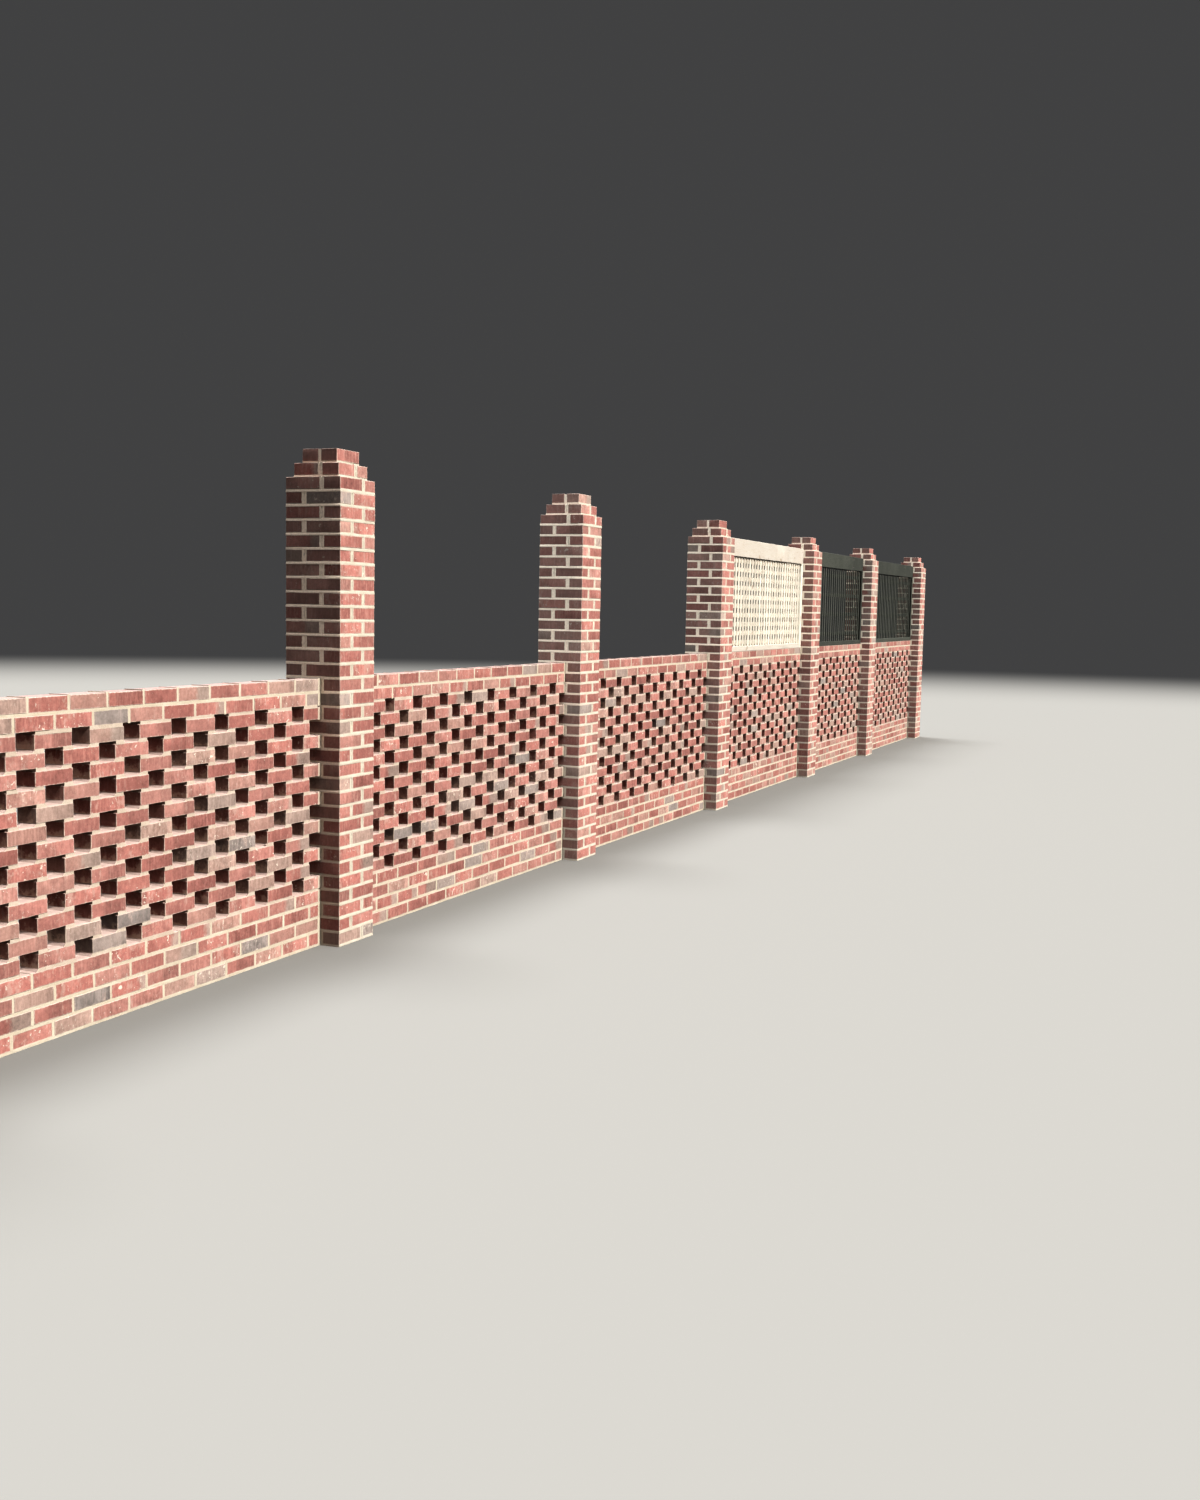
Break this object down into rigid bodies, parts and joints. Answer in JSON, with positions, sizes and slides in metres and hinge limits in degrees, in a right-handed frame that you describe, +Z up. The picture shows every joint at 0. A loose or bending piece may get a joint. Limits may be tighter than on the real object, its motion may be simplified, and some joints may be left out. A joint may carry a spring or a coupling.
{
  "type": "pierced brick garden wall with piers",
  "caption": "Garden wall of honeycomb brickwork between tall square brick piers with stepped caps, with timber lattice panels on part of the wall.",
  "frame": {"origin": "on the ground under the middle of the whole wall, halfway through its thickness", "axes": "+X along the wall towards the timber panels, +Y towards the back, +Z up"},
  "size_m": [16.875, 0.305, 2.3695],
  "materials": {
    "pier_brickwork": "rough fired clay brick with flush cream mortar",
    "wall_brickwork": "rough fired clay brick with flush cream mortar",
    "new_timber": "sawn pale softwood, unpainted",
    "weathered_timber": "old dark grey-green softwood"
  },
  "bodies": {
    "root": {"pier_1_shaft": "pier_brickwork", "pier_2_shaft": "pier_brickwork", "pier_3_shaft": "pier_brickwork", "pier_4_shaft": "pier_brickwork", "pier_5_shaft": "pier_brickwork", "pier_6_shaft": "pier_brickwork", "pier_7_shaft": "pier_brickwork", "pier_1_cap": "pier_brickwork", "pier_2_cap": "pier_brickwork", "pier_3_cap": "pier_brickwork", "pier_4_cap": "pier_brickwork", "pier_5_cap": "pier_brickwork", "pier_6_cap": "pier_brickwork", "pier_7_cap": "pier_brickwork", "bay_1_base": "wall_brickwork", "bay_2_base": "wall_brickwork", "bay_3_base": "wall_brickwork", "bay_4_base": "wall_brickwork", "bay_5_base": "wall_brickwork", "bay_6_base": "wall_brickwork", "bay_1_screen": "wall_brickwork", "bay_2_screen": "wall_brickwork", "bay_3_screen": "wall_brickwork", "bay_4_screen": "wall_brickwork", "bay_5_screen": "wall_brickwork", "bay_6_screen": "wall_brickwork", "bay_1_top_courses": "wall_brickwork", "bay_2_top_courses": "wall_brickwork", "bay_3_top_courses": "wall_brickwork", "bay_4_top_courses": "wall_brickwork", "bay_5_top_courses": "wall_brickwork", "bay_6_top_courses": "wall_brickwork", "bay_4_board": "new_timber", "bay_5_board": "weathered_timber", "bay_6_board": "weathered_timber", "bay_4_frame": "new_timber", "bay_5_frame": "weathered_timber", "bay_6_frame": "weathered_timber", "bay_4_lattice": "new_timber", "bay_5_lattice": "weathered_timber", "bay_6_lattice": "weathered_timber"}
  },
  "joints": []
}
